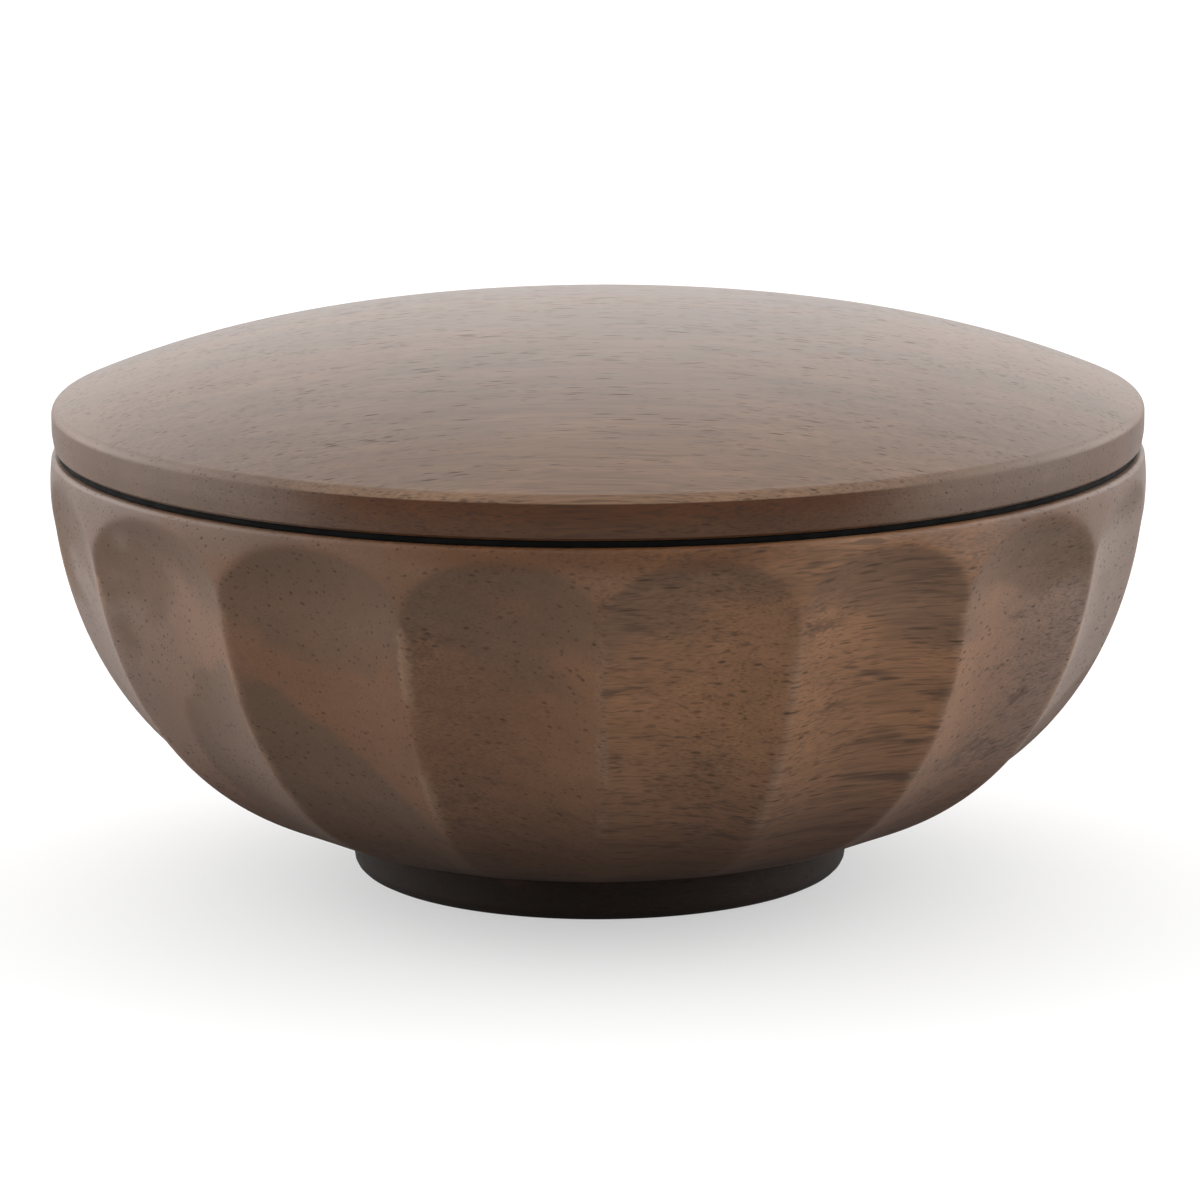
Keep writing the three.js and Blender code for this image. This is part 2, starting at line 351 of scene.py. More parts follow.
def make_bowl():
    outline = bowl_outline()
    bearings = flute_bearings()
    rows = turned_rows(outline, bearings)
    ridge, carved = np.zeros((2, *rows.shape[:2]))
    rim_row = int(np.argmax(outline[:, 1]))
    for index, (radius, height) in enumerate(outline[:rim_row]):
        if radius < FOOT_RADIUS - FOOT_RING_WIDTH:
            continue
        rows[index, :, :2] *= (1 - flute_dip(radius, height, bearings) / radius)[:, None]
        ridge[index] = ridge_nearness(radius, height, bearings)
        carved[index] = flute_share(radius, height, bearings)
    vertices, faces = skin(rows, closed=False)
    piece = make_piece("bowl_carved", vertices, faces)
    # The skin's rings, and then its two poles, which carry no mark
    for name, values in (("ridge", ridge), ("carved", carved)):
        marks = piece.data.attributes.new(name, "FLOAT", "POINT")
        marks.data.foreach_set("value", np.append(values[1:-1].ravel(), [0, 0]))
    return piece


# Lid and seal ring

def dome_height(share, base_height, base_radius):
    """Height of the lid's dome at a share of its radius. It leaves the edge at the edge's own slope."""
    edge_slope = math.tan(math.radians(90 - LID_EDGE_TURN))
    shoulder = edge_slope * base_radius / LID_DOME_RISE / 2 - 1
    return base_height + LID_DOME_RISE * (1 - (1 - shoulder) * share**2 - shoulder * share**4)


def lid_outline():
    side_foot_radius = lid_radius - LID_SIDE_TAPER
    plug_foot = lid_underside - PLUG_DEPTH
    hollow_radius = plug_radius - PLUG_WALL
    turns = np.radians(np.linspace(0, LID_EDGE_TURN, LID_EDGE_POINTS))
    edge = np.stack(
        [
            lid_radius - LID_EDGE_ROUND * (1 - np.cos(turns)),
            lid_edge_height + LID_EDGE_ROUND * np.sin(turns),
        ],
        axis=-1,
    )
    base_radius, base_height = edge[-1]
    hollow = [
        (radius, dome_height(radius / base_radius, base_height, base_radius) - LID_THICKNESS)
        for radius in np.linspace(0, hollow_radius, LID_HOLLOW_POINTS)
    ]
    # The last points of the hollow make way for the rounding of its corner
    underneath = rounded([
        (*hollow[-4], 0),
        (*hollow[-1], HOLLOW_CORNER),
        (hollow_radius, plug_foot, BREAK * 2),
        (plug_radius - PLUG_CHAMFER, plug_foot, BREAK),
        (plug_radius, plug_foot + PLUG_CHAMFER, BREAK),
        (plug_radius, lid_underside, BREAK),
        (side_foot_radius - LID_LOWER_CHAMFER, lid_underside, BREAK),
        (side_foot_radius, lid_underside + LID_LOWER_CHAMFER, BREAK),
        (lid_radius, lid_underside + LID_TAPER_HEIGHT, LID_TAPER_ROUND),
        (*edge[0], 0),
    ])
    dome_shares = np.sin(np.linspace(math.pi / 2, 0, LID_DOME_POINTS))[1:]
    dome = [(base_radius * share, dome_height(share, base_height, base_radius)) for share in dome_shares]
    return filled([*hollow[:-3], *underneath[1:], *edge[1:], *dome])


def make_lid():
    vertices, faces = skin(turned_rows(lid_outline(), round_bearings()), closed=False)
    return make_piece("lid_turned", vertices, faces)


def seal_outline():
    skirt_radius = seal_bore + SEAL_SKIRT_WALL
    skirt_foot = RIM_HEIGHT - SEAL_SKIRT_DEPTH
    flange_radius = rim_radius - SEAL_SETBACK
    lips = []
    for lip in range(SEAL_LIPS):
        tip = skirt_foot + SEAL_LIP_PITCH * (lip + SEAL_LIP_RISE)
        valley = tip + SEAL_LIP_PITCH * (1 - SEAL_LIP_RISE)
        lips.append((seal_lip_radius, tip, SEAL_LIP_ROUND))
        lips.append((skirt_radius, valley, SEAL_LIP_ROUND))
    inside = (seal_bore, (skirt_foot + lid_underside) / 2, 0)
    corners = [
        inside,
        (seal_bore, skirt_foot, BREAK),
        (skirt_radius, skirt_foot, BREAK),
        *lips,
        (skirt_radius, RIM_HEIGHT, BREAK),
        (flange_radius, RIM_HEIGHT, BREAK),
        (flange_radius, lid_underside, BREAK),
        (seal_bore, lid_underside, BREAK),
        inside,
    ]
    return filled(rounded(corners))[:-1]


def make_seal():
    vertices, faces = skin(turned_rows(seal_outline(), round_bearings()), closed=True)
    return make_piece("seal_moulded", vertices, faces)


# Materials

def linear(red, green, blue):
    """A colour given by its 0 to 255 screen values."""
    shares = (channel / 255 for channel in (red, green, blue))
    return (*(s / 12.92 if s <= 0.04045 else ((s + 0.055) / 1.055) ** 2.4 for s in shares), 1)


class Graph:
    """A node tree with a short call for each kind of node that the materials use."""

    def __init__(self, tree):
        self.tree = tree
        tree.nodes.clear()

    def node(self, kind, inputs=(), **settings):
        made = self.tree.nodes.new(kind)
        for name, value in settings.items():
            setattr(made, name, value)
        for socket, value in dict(inputs).items():
            self.put(made.inputs[socket], value)
        return made

    def put(self, socket, value):
        if isinstance(value, bpy.types.NodeSocket):
            self.tree.links.new(value, socket)
        else:
            socket.default_value = value

    def math(self, operation, *values, clamp=False):
        inputs = enumerate(values)
        return self.node("ShaderNodeMath", inputs, operation=operation, use_clamp=clamp).outputs[0]

    def times(self, first, *others):
        """The product of the values."""
        for other in others:
            first = self.math("MULTIPLY", first, other)
        return first

    def rest(self, share):
        """What a share leaves of 1."""
        return self.math("SUBTRACT", 1, share)

    def distance(self, value, middle):
        return self.math("ABSOLUTE", self.math("SUBTRACT", value, middle))

    def vector(self, operation, *values):
        return self.node("ShaderNodeVectorMath", enumerate(values), operation=operation).outputs[0]

    def facing(self, direction, axis):
        """The dot product of two directions."""
        inputs = {0: direction, 1: axis}
        return self.node("ShaderNodeVectorMath", inputs, operation="DOT_PRODUCT").outputs["Value"]

    def parts(self, vector):
        return self.node("ShaderNodeSeparateXYZ", {0: vector}).outputs

    def mark(self, name):
        """A value that the mesh carries at its points."""
        return self.node("ShaderNodeAttribute", attribute_name=name).outputs["Fac"]

    def noise(self, vector, detail=2, roughness=0.5):
        inputs = {"Vector": vector, "Scale": 1, "Detail": detail, "Roughness": roughness}
        return self.node("ShaderNodeTexNoise", inputs)

    def between(self, value, low, high, to_low=0, to_high=1):
        """The value taken smoothly from one range into another, and held at its ends."""
        inputs = {"Value": value, "From Min": low, "From Max": high, "To Min": to_low, "To Max": to_high}
        return self.node("ShaderNodeMapRange", inputs, interpolation_type="SMOOTHSTEP").outputs[0]

    def mix(self, share, first, second, blend="MIX"):
        mixer = self.node("ShaderNodeMix", data_type="RGBA", blend_type=blend)
        self.put(mixer.inputs[0], share)
        self.put(mixer.inputs[6], first)
        self.put(mixer.inputs[7], second)
        return mixer.outputs[2]


WOOD_RED = linear(126, 89, 64)
# Light wood on the bowl; on the lid's top at the front, a faint painted highlight
WOOD_LIGHT_AND_HIGHLIGHT = linear(147, 106, 75)
WOOD_GREY = linear(109, 82, 62)
WOOD_DUSK = linear(76, 53, 36)
# Painted shade: darker towards the bottom of the belly, and darkest at the foot
WOOD_LOW_PAINTED_SHADE = linear(73, 46, 26)
WOOD_FOOT_PAINTED_SHADE = linear(22, 9, 2)
# Lighter ridges: part wear of the stain, part painted highlight of the side light
WOOD_RUBBED_AND_HIGHLIGHT = linear(154, 121, 96)
# Warm brown: the rim band's clouds, and painted shade at its front
WOOD_WARM_AND_SHADE = linear(108, 68, 38)
# Painted sheen: a pale grey that stands in for the reflection of the side lights, on the bowl's flanks and
# the lid's side
WOOD_PAINTED_SHEEN = linear(136, 118, 107)
# A dimmer painted sheen for the rim band at the flanks
RIM_PAINTED_SHEEN = linear(92, 76, 66)
LID_BROWN = linear(105, 79, 60)
LID_GREY = linear(98, 76, 60)
# Painted highlight on the lid's edge at the front
LID_PAINTED_HIGHLIGHT = linear(158, 126, 101)
# Painted shade on the lid's side, at the front and at its ends
LID_PAINTED_SHADE = linear(86, 48, 20)
PORE_DARK = linear(48, 33, 24)
RUBBER_BLACK = linear(4, 3, 3)
RUBBER_GREY = linear(11, 10, 9)

BOWL_GRAIN_YAW = 25  # degrees from +X towards +Y
LID_GRAIN_YAW = 0
END_GRAIN = (0.25, 0.7)  # how squarely the grain meets the surface where end grain sets in and is whole

# Patterns of the wood: the length of their cells along the grain and the width across it
SLOW_WAVES = (70, 24)
FINE_WAVES = (12, 5)
FIBRES = (9, 0.3)
STREAKS = (40, 2.2)
CLOUDS = (26, 11)
DARK_LINES = (13, 0.42)
PORE_BANDS = (40, 9)
FIGURE_PATCHES = (24, 5)
FIGURE_FRAY = (16, 0.7)
RIDGE_FRAY = (6, 0.7)
RIDGE_STRETCHES = (16, 12)
ZONE_EDGES = (30, 6)
ZONE_CLOUDS = (30, 20)
LID_BANDS = (120, 22)
RUBBER_MOTTLE = (3, 3)

# Where each pattern sets in and where it is whole, as values of its noise
NOISE_SPREAD = (0.3, 0.7)  # where most of the values lie
BAND_SPREAD = (0.36, 0.6)
LINE_CRESTS = (0.56, 0.68)
FIBRE_SPREAD = (0.2, 0.8)
STRETCH_SPREAD = (0.4, 0.6)
WARM_CLOUDS = (0.45, 0.65)
BOWL_FIGURE = (0.6, 0.78)
LID_FIGURE = (0.66, 0.86)
RUBBED_AND_HIGHLIGHT_SPREAD = (0.85, 1.3)  # of the nearness to a ridge and its fray together, for the lighter ridges: part wear, part painted highlight

FINE_WAVE_SHARE = 0.13  # depth of the fine waves as a share of the slow ones'
FIGURE_FRAYING = 0.45
# fraying of the lighter ridges, part wear and part painted highlight
RUBBED_AND_HIGHLIGHT_FRAYING = 0.8
LINE_STAIN = 0.4
PORE_SMALLEST = 0.16  # radius of the smallest pores in their cells
PORE_SPREAD = 0.16  # what the largest have more
PORE_FAINTEST = 0.45
PORE_STAIN = 0.85  # how dark the deepest pores are
PORE_DULLNESS = 0.3  # roughness that they add
FIBRE_DULLNESS = 0.1
LOW_DULLNESS = 0.35
SMALL_PORE_LENGTH = 0.5  # as a share of the large pores' length, and so on
SMALL_PORE_WIDTH = 0.6
SMALL_PORE_WEIGHT = 0.7
SMALL_PORE_SHIFT = 37  # sets the small pores apart from the large ones
PORE_RELIEF = 0.12
FIBRE_RELIEF = 0.15  # as a share of the pores' relief
RUBBER_RELIEF = 0.05

# Zones of the bowl's wood and of the sheen and shade painted on it. A pair holds the heights, or the
# distances from a middle, where a zone sets in and where it is whole.
EDGE_WANDER = 9  # how far the zones' frayed edges wander up and down
GREY_TOP = (56, 72)
GREY_TOP_WANDER = 70
HEART_ACROSS = -33
HEART_HEIGHT = 26
HEART_HALF_WIDTH = 22
HEART_HALF_HEIGHT = 25
HEART_EDGE = (1.14, 0.9)
BRIGHT_ALONG = -6
BRIGHT_REACH = (50, 22)
BRIGHT_ACROSS = (40, -40)
BRIGHT_HEIGHT = (22, 40)
FIGURE_BELT_HEIGHT = 30
FIGURE_BELT = (16, 4)
# painted shade, low on the belly and by the foot
DARK_LOW = (32, 14)
DARK_FOOT = (14, 5)
DULL_LOW = (38, 6)
# distances from the middle over which the painted sheen of the flanks sets in
SHEEN_FLANK = (55, 98)
RIM_BAND = (70, 76)
RIM_FLANK = (30, 60)
# heights of the rim band's warm clouds and painted shade, and how far from the middle its front shade
# reaches
RIM_WARM_AND_SHADE_BAND = (73, 76.5)
RIM_SHADE_FRONT = (42, 22)
# heights where the lighter ridges, part wear and part painted highlight, set in and are whole
RUBBED_AND_HIGHLIGHT_HEIGHT = (20, 32)

# Zones of the lid's wood and of the highlight, sheen and shade painted on it, with heights from the top of
# its upright side
LID_FRONT = (-60, -88)
LID_ABOVE = (0.1, 0.35)
# heights and front of the painted highlight on the lid's edge
LID_HIGHLIGHT_HEIGHT = (2.4, 0.5)
LID_HIGHLIGHT_FRONT = (-80, -95)
# where the painted sheen on the lid's side sets in, and where it fades out towards the ends
LID_SHEEN_SIDE = (28, 55)
LID_SHEEN_SIDE_END = (98, 76)
# where the painted shade on the lid's side sets in: at its ends, at the front, and below its edge
LID_SHADE_ENDS = (74, 94)
LID_SHADE_SIDE = (64, 38)
LID_SHADE_HEIGHT = (1 - LID_SIDE_HEIGHT + SANDED, -0.5)


def grain_frame(graph, yaw):
    """Places in the wood in millimetres: along the grain, across it and up."""
    place = graph.node("ShaderNodeTexCoord").outputs["Object"]
    inputs = {"Vector": place, "Rotation": (0, 0, -math.radians(yaw)), "Scale": (1 / MM,) * 3}
    return graph.node("ShaderNodeMapping", inputs, vector_type="POINT").outputs[0]


def stretched(graph, place, cell):
    """The place measured in cells that are long along the grain and narrow across it."""
    length, width = cell
    return graph.vector("MULTIPLY", place, (1 / length, 1 / width, 1 / width))


def grain_noise(graph, place, cell, detail=2, roughness=0.5):
    """Noise from 0 to 1, most of it from 0.3 to 0.7, in cells that are drawn out along the grain."""
    return graph.noise(stretched(graph, place, cell), detail, roughness).outputs[0]


def waved(graph, place, cell, depth):
    """The place moved across the grain by slow waves, as the fibres run."""
    wave = graph.noise(stretched(graph, place, cell)).outputs["Color"]
    wave = graph.vector("SUBTRACT", wave, (0.5, 0.5, 0.5))
    return graph.vector("ADD", place, graph.vector("MULTIPLY", wave, (0, 2 * depth, 2 * depth)))


def end_grain(graph, yaw):
    """1 where the surface is cut across the grain, 0 where it runs along it."""
    normal = graph.node("ShaderNodeTexCoord").outputs["Normal"]
    grain = (math.cos(math.radians(yaw)), math.sin(math.radians(yaw)), 0)
    return graph.between(graph.math("ABSOLUTE", graph.facing(normal, grain)), *END_GRAIN)


def pores(graph, place, cell, share, shift):
    """Open pores: long narrow hollows in a share of the wood's cells, 1 in the middle of the deepest."""
    moved = graph.vector("ADD", place, (shift, shift, shift))
    cells = graph.node("ShaderNodeTexVoronoi", {"Vector": stretched(graph, moved, cell), "Scale": 1})
    lot = graph.parts(cells.outputs["Color"])
    kept = graph.math("LESS_THAN", lot[0], share)
    size = graph.math("MULTIPLY_ADD", lot[1], PORE_SPREAD, PORE_SMALLEST)
    depth = graph.math("SUBTRACT", 1, graph.math("DIVIDE", cells.outputs["Distance"], size), clamp=True)
    strength = graph.math("MULTIPLY_ADD", lot[2], 1 - PORE_FAINTEST, PORE_FAINTEST)
    return graph.times(graph.math("POWER", depth, 0.5), kept, strength)


def pore_bands(graph, place, fine_place, pore_size, crowding):
    """Large and small pores in loose bands. The crowding is the share of cells that hold a pore, between the
    bands and in them."""
    length, width = pore_size
    small_size = (length * SMALL_PORE_LENGTH, width * SMALL_PORE_WIDTH)
    crowd = graph.between(grain_noise(graph, place, PORE_BANDS), *BAND_SPREAD, *crowding)
    small_crowd = graph.times(crowd, SMALL_PORE_WEIGHT)
    large = pores(graph, fine_place, pore_size, crowd, 0)
    small = pores(graph, fine_place, small_size, small_crowd, SMALL_PORE_SHIFT)
    return graph.math("MAXIMUM", large, graph.times(small, SMALL_PORE_WEIGHT))


def figure(graph, place, lift, low, high):
    """Patches of darker wood, drawn out along the grain and frayed. The lift makes more of them."""
    patches = grain_noise(graph, place, FIGURE_PATCHES)
    fray = graph.math("SUBTRACT", grain_noise(graph, place, FIGURE_FRAY, roughness=0.6), 0.5)
    frayed = graph.math("MULTIPLY_ADD", fray, FIGURE_FRAYING, patches)
    return graph.between(graph.math("ADD", frayed, lift), low, high)


def rubbed_and_highlit_ridges(graph, place):
    """Where the wood is lighter beside the ridges, in stretches and with frayed edges: part wear of the
    stain and part a painted highlight of the side light.
    """
    fray = grain_noise(graph, place, RIDGE_FRAY)
    edge = graph.math("MULTIPLY_ADD", fray, RUBBED_AND_HIGHLIGHT_FRAYING, graph.mark("ridge"))
    stretches = grain_noise(graph, place, RIDGE_STRETCHES, detail=1)
    return graph.times(
        graph.between(edge, *RUBBED_AND_HIGHLIGHT_SPREAD),
        graph.between(graph.parts(place)[2], *RUBBED_AND_HIGHLIGHT_HEIGHT),
        graph.between(stretches, *STRETCH_SPREAD, 0.15, 0.75),
    )


def shading(graph, place, fibres, end):
    """Factor of the wood's colour that its streaks, fibres and clouds leave, calmer where the grain ends."""
    waves = [
        # the pattern, and how deep it is where the grain runs along the surface and where it ends there
        (grain_noise(graph, place, STREAKS, detail=3, roughness=0.6), 0.2, 0.06),
        (fibres, 0.3, 0.2),
        (grain_noise(graph, place, CLOUDS), 0.12, 0.1),
    ]
    shade = 1
    for wave, along, across in waves:
        depth = graph.math("MULTIPLY_ADD", end, across - along, along)
        swing = graph.math("SUBTRACT", graph.between(wave, *NOISE_SPREAD), 0.5)
        shade = graph.times(shade, graph.math("MULTIPLY_ADD", swing, depth, 1))
    return shade


def wood(name, yaw, base, zones, wave, pore_size, crowding, roughness, ior, worn_and_highlit=False):
    """Dark stained open-pored hardwood, from its base colour and the zones where further colours lie,
    painted light and shade among them. With wear, its ridges are lighter, part wear of the stain and part
    painted highlight, and it is duller low down."""
    material = bpy.data.materials.new(name)
    material.use_nodes = True
    graph = Graph(material.node_tree)
    place = waved(graph, grain_frame(graph, yaw), SLOW_WAVES, wave)
    fine_place = waved(graph, place, FINE_WAVES, wave * FINE_WAVE_SHARE)
    end = end_grain(graph, yaw)
    fibres = grain_noise(graph, fine_place, FIBRES, roughness=0.6)

    # Colour of the wood between its pores
    colour = base
    for share, other in zones(graph, place, end):
        colour = graph.mix(share, colour, other)
    if worn_and_highlit:
        # Lighter ridges: part wear of the stain, part painted highlight
        colour = graph.mix(rubbed_and_highlit_ridges(graph, place), colour, WOOD_RUBBED_AND_HIGHLIGHT)
    shade = shading(graph, place, fibres, end)
    tone = graph.node("ShaderNodeCombineXYZ", {0: shade, 1: shade, 2: shade}).outputs[0]
    colour = graph.mix(1, colour, tone, "MULTIPLY")

    # Thin dark lines between the fibres, and pores
    lines = grain_noise(graph, fine_place, DARK_LINES, detail=1)
    lines = graph.times(graph.between(lines, *LINE_CRESTS, 0, LINE_STAIN), graph.rest(end))
    colour = graph.mix(lines, colour, PORE_DARK)
    hollow = pore_bands(graph, place, fine_place, pore_size, crowding)
    colour = graph.mix(graph.math("MULTIPLY", hollow, PORE_STAIN, clamp=True), colour, PORE_DARK)

    # Relief, and roughness, which is higher in the pores
    relief = graph.math("SUBTRACT", graph.times(fibres, FIBRE_RELIEF), hollow)
    bump_inputs = {"Strength": 0.5, "Distance": PORE_RELIEF * MM, "Height": relief}
    bump = graph.node("ShaderNodeBump", bump_inputs).outputs[0]
    dullness = graph.between(fibres, *FIBRE_SPREAD, roughness, roughness + FIBRE_DULLNESS)
    dullness = graph.math("MULTIPLY_ADD", hollow, PORE_DULLNESS, dullness)
    if worn_and_highlit:
        low = graph.between(graph.parts(place)[2], *DULL_LOW, 0, LOW_DULLNESS)
        dullness = graph.math("ADD", dullness, low)
    shader = graph.node(
        "ShaderNodeBsdfPrincipled",
        {"Base Color": colour, "Roughness": dullness, "Normal": bump, "IOR": ior},
    )
    graph.node("ShaderNodeOutputMaterial", {"Surface": shader.outputs[0]})
    return material


def bowl_zones(graph, place, end):
    """Painted sheen on the flanks, grey wood in the arches' tops and round the heart, light wood at one
    side, dark figure, painted shade low down and darkest by the foot, and a rim band with a dimmer painted
    sheen at the flanks, warm clouds, and painted shade at the front."""
    along, across, up = graph.parts(place)
    sideways = graph.math("ABSOLUTE", graph.parts(grain_frame(graph, 0))[0])
    broad = grain_noise(graph, place, ZONE_CLOUDS)
    wander = graph.math("SUBTRACT", grain_noise(graph, place, ZONE_EDGES, detail=3, roughness=0.6), 0.5)
    edged = graph.math("MULTIPLY_ADD", wander, EDGE_WANDER, up)

    # Grey wood, weaker on the turned wood between the arches
    reach_down = graph.math("MULTIPLY_ADD", graph.math("SUBTRACT", broad, 0.5), GREY_TOP_WANDER, edged)
    top = graph.between(reach_down, *GREY_TOP, 0, 0.9)
    top = graph.times(top, graph.between(graph.mark("carved"), 0.1, 0.9, 0.35, 1))
    side = graph.math("DIVIDE", graph.math("SUBTRACT", across, HEART_ACROSS), HEART_HALF_WIDTH)
    height = graph.math("DIVIDE", graph.math("SUBTRACT", edged, HEART_HEIGHT), HEART_HALF_HEIGHT)
    heart = graph.math("ADD", graph.times(side, side), graph.times(height, height))
    heart = graph.between(heart, *HEART_EDGE)

    # Light wood, and dark figure, most of it in a belt
    bright = graph.between(graph.distance(along, BRIGHT_ALONG), *BRIGHT_REACH)
    bright = graph.times(bright, graph.between(across, *BRIGHT_ACROSS), graph.between(edged, *BRIGHT_HEIGHT))
    belt = graph.between(graph.distance(up, FIGURE_BELT_HEIGHT), *FIGURE_BELT, 0, 0.07)
    dark_figure = graph.times(figure(graph, place, belt, *BOWL_FIGURE), graph.rest(end), 0.75)

    # The rim band: a dimmer painted sheen at the flanks, warm in clouds, and painted shade at the front
    rim = graph.times(graph.between(up, *RIM_BAND, 0, 0.6), graph.between(sideways, *RIM_FLANK))
    warm = graph.math(
        "MAXIMUM",
        graph.between(broad, *WARM_CLOUDS, 0, 0.5),
        graph.between(sideways, *RIM_SHADE_FRONT),
    )
    warm = graph.times(graph.between(up, *RIM_WARM_AND_SHADE_BAND, 0, 0.8), warm)
    return [
        # painted sheen on the flanks
        (graph.between(sideways, *SHEEN_FLANK, 0, 0.9), WOOD_PAINTED_SHEEN),
        # dimmer painted sheen on the rim band at the flanks
        (rim, RIM_PAINTED_SHEEN),
        (graph.math("MAXIMUM", top, heart), WOOD_GREY),
        (bright, WOOD_LIGHT_AND_HIGHLIGHT),
        (graph.times(top, 0.8), WOOD_GREY),
        (dark_figure, WOOD_DUSK),
        # painted shade, darker low down and darkest by the foot
        (graph.between(edged, *DARK_LOW, 0, 0.8), WOOD_LOW_PAINTED_SHADE),
        (graph.between(edged, *DARK_FOOT, 0, 0.95), WOOD_FOOT_PAINTED_SHADE),
        # warm clouds in the rim band, and painted shade at its front
        (warm, WOOD_WARM_AND_SHADE),
    ]


def lid_zones(graph, place, end):
    """Grey wood in broad bands along the lid and a little dark figure, with a faint painted highlight on the
    top and a stronger one on the edge at the front, and a side with painted shade at the front, painted
    sheen beside that and painted shade at its ends."""
    along, across, up = graph.parts(grain_frame(graph, LID_GRAIN_YAW))
    sideways = graph.math("ABSOLUTE", along)
    height = graph.math("SUBTRACT", up, lid_edge_height)
    above = graph.between(height, *LID_ABOVE)
    below = graph.rest(above)
    front = graph.between(across, *LID_FRONT)
    dark_figure = graph.times(figure(graph, place, 0, *LID_FIGURE), graph.rest(end), 0.3)
    # painted highlight on the edge at the front
    edge_highlight = graph.times(
        above,
        graph.between(height, *LID_HIGHLIGHT_HEIGHT),
        graph.between(across, *LID_HIGHLIGHT_FRONT, 0.1, 0.8),
    )
    # painted sheen on the lid's side
    sheen_side = graph.times(
        below,
        graph.between(sideways, *LID_SHEEN_SIDE, 0, 0.4),
        graph.between(sideways, *LID_SHEEN_SIDE_END),
    )
    # painted shade on the side at the front
    shade_side = graph.times(
        below,
        graph.between(sideways, *LID_SHADE_SIDE),
        front,
        graph.between(height, *LID_SHADE_HEIGHT, 0.6, 0.95),
    )
    return [
        (graph.between(grain_noise(graph, place, LID_BANDS), *STRETCH_SPREAD), LID_GREY),
        (dark_figure, WOOD_DUSK),
        # a faint painted highlight on the top at the front
        (graph.times(front, above, 0.05), WOOD_LIGHT_AND_HIGHLIGHT),
        (edge_highlight, LID_PAINTED_HIGHLIGHT),
        (sheen_side, WOOD_PAINTED_SHEEN),
        # painted shade on the side at its ends, and at the front
        (graph.times(below, graph.between(sideways, *LID_SHADE_ENDS, 0, 0.25)), LID_PAINTED_SHADE),
        (shade_side, LID_PAINTED_SHADE),
    ]


def rubber():
    material = bpy.data.materials.new("seal_rubber")
    material.use_nodes = True
    graph = Graph(material.node_tree)
    mottle = grain_noise(graph, grain_frame(graph, 0), RUBBER_MOTTLE, detail=3)
    bump_inputs = {"Strength": 0.2, "Distance": RUBBER_RELIEF * MM, "Height": mottle}
    shader = graph.node(
        "ShaderNodeBsdfPrincipled",
        {
            "Base Color": graph.mix(mottle, RUBBER_BLACK, RUBBER_GREY),
            "Roughness": graph.between(mottle, *NOISE_SPREAD, 0.75, 0.9),
            "Normal": graph.node("ShaderNodeBump", bump_inputs).outputs[0],
            "Specular IOR Level": 0.15,
        },
    )
    graph.node("ShaderNodeOutputMaterial", {"Surface": shader.outputs[0]})
    return material


# Studio

FLOOR_SIZE = 12000
FLOOR_PALE = (0.48, 0.48, 0.48, 1)
FLOOR_BOUNCE = (0.22, 0.22, 0.22, 1)  # what the floor gives back to the object
FLOOR_LIFT = 0.5  # added for the camera
FLOOR_LIFT_MIRRORED = 0.1  # added in reflections

# The surroundings, dimmer on the camera's side, and the soft lights in them
WORLD_FRONT = 0.43
WORLD_BACK = 0.92
WORLD_TURN = (-0.2, 0.5)  # where the front turns into the back, as a share of the way straight back
SOFT_LIGHTS = [
    # bearing from the front and height in degrees, spreads where it is whole and gone, and strength
    (180, 38, 22, 48, 1.05),
    (0, 62, 20, 50, 0.3),
    (102, 8, 20, 51, 3.05),
    (-102, 8, 20, 51, 3.05),
]


def make_floor():
    half = FLOOR_SIZE / 2
    corners = [(-half, -half, 0), (half, -half, 0), (half, half, 0), (-half, half, 0)]
    floor = make_piece("studio_floor", corners, [(0, 1, 2, 3)], smooth=False)
    material = bpy.data.materials.new("studio_floor")
    material.use_nodes = True
    graph = Graph(material.node_tree)
    rays = graph.node("ShaderNodeLightPath").outputs
    mirrored = graph.math("MAXIMUM", rays["Is Glossy Ray"], rays["Is Transmission Ray"])
    seen = graph.math("MAXIMUM", rays["Is Camera Ray"], mirrored)
    shader = graph.node("ShaderNodeBsdfDiffuse", {"Color": graph.mix(seen, FLOOR_BOUNCE, FLOOR_PALE)})
    strength = graph.math(
        "MAXIMUM",
        graph.times(rays["Is Camera Ray"], FLOOR_LIFT),
        graph.times(mirrored, FLOOR_LIFT_MIRRORED),
    )
    lift = graph.node("ShaderNodeEmission", {"Strength": strength})
    both = graph.node("ShaderNodeAddShader", {0: shader.outputs[0], 1: lift.outputs[0]})
    graph.node("ShaderNodeOutputMaterial", {"Surface": both.outputs[0]})
    floor.data.materials.append(material)


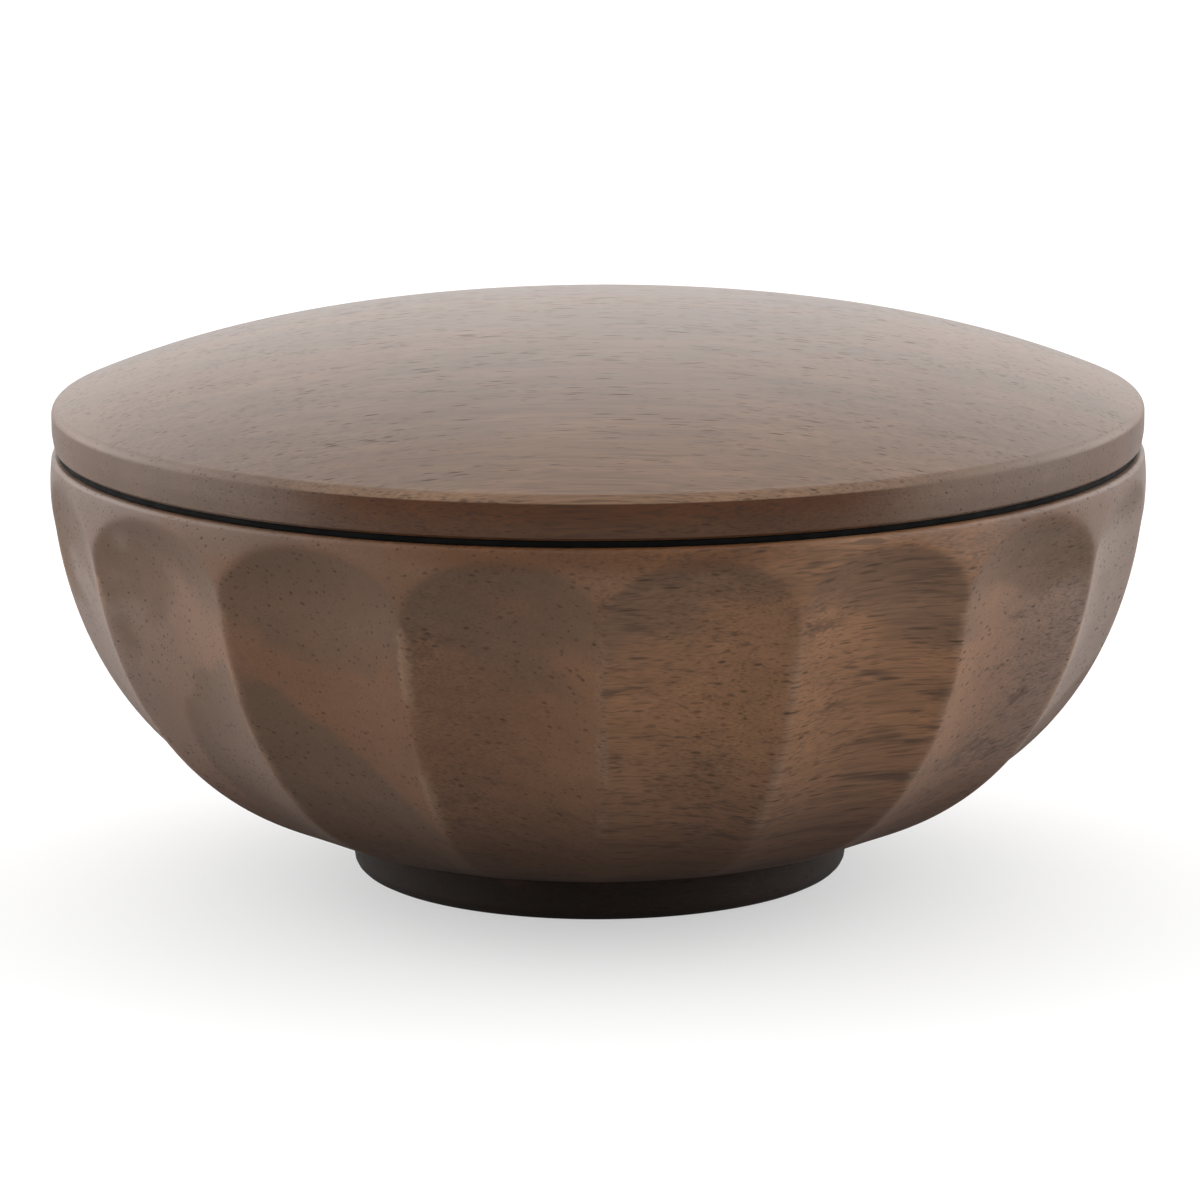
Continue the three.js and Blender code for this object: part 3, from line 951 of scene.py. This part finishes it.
def soft_light(graph, direction, bearing, height, whole, gone, strength):
    """Light that comes from round one direction and fades out softly."""
    bearing, height, whole, gone = (math.radians(angle) for angle in (bearing, height, whole, gone))
    middle = (
        math.sin(bearing) * math.cos(height),
        -math.cos(bearing) * math.cos(height),
        math.sin(height),
    )
    return graph.between(graph.facing(direction, middle), math.cos(gone), math.cos(whole), 0, strength)


def make_world():
    world = bpy.data.worlds.new("studio")
    world.use_nodes = True
    bpy.context.scene.world = world
    graph = Graph(world.node_tree)
    direction = graph.node("ShaderNodeTexCoord").outputs["Generated"]
    strength = graph.between(graph.parts(direction)[1], *WORLD_TURN, WORLD_FRONT, WORLD_BACK)
    for light in SOFT_LIGHTS:
        strength = graph.math("ADD", strength, soft_light(graph, direction, *light))
    background = graph.node("ShaderNodeBackground", {"Color": (1, 1, 1, 1), "Strength": strength})
    graph.node("ShaderNodeOutputWorld", {"Surface": background.outputs[0]})


def make_camera():
    data = bpy.data.cameras.new("camera")
    data.sensor_width = SENSOR_WIDTH
    data.lens = FOCAL_PIXELS * SENSOR_WIDTH / FRAME_PIXELS
    data.shift_x = OBJECT_LEFT_PIXELS / FRAME_PIXELS
    camera = bpy.data.objects.new("camera", data)
    camera.location = (0, -CAMERA_DISTANCE * MM, CAMERA_HEIGHT * MM)
    camera.rotation_euler = (math.radians(90 - CAMERA_PITCH), 0, 0)
    camera.rotation_euler.rotate_axis("Z", math.radians(CAMERA_ROLL))
    bpy.context.scene.collection.objects.link(camera)
    bpy.context.scene.camera = camera


bpy.context.scene.view_settings.view_transform = "Standard"
make_camera()
make_world()
make_floor()

bowl = make_bowl()
bowl_wood = wood(
    "bowl_wood", BOWL_GRAIN_YAW, WOOD_RED, bowl_zones,
    wave=3, pore_size=(12, 1.1), crowding=(0.5, 1), roughness=0.42, ior=1.45, worn_and_highlit=True,
)
bowl.data.materials.append(bowl_wood)
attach(bowl, "bowl")
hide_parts("bowl")

lid = make_lid()
lid_wood = wood(
    "lid_wood", LID_GRAIN_YAW, LID_BROWN, lid_zones,
    wave=1.2, pore_size=(8, 0.8), crowding=(0.15, 0.85), roughness=0.35, ior=1.38,
)
lid.data.materials.append(lid_wood)
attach(lid, "lid")
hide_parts("lid")

seal = make_seal()
seal.data.materials.append(rubber())
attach(seal, "seal")
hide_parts("seal_ring")
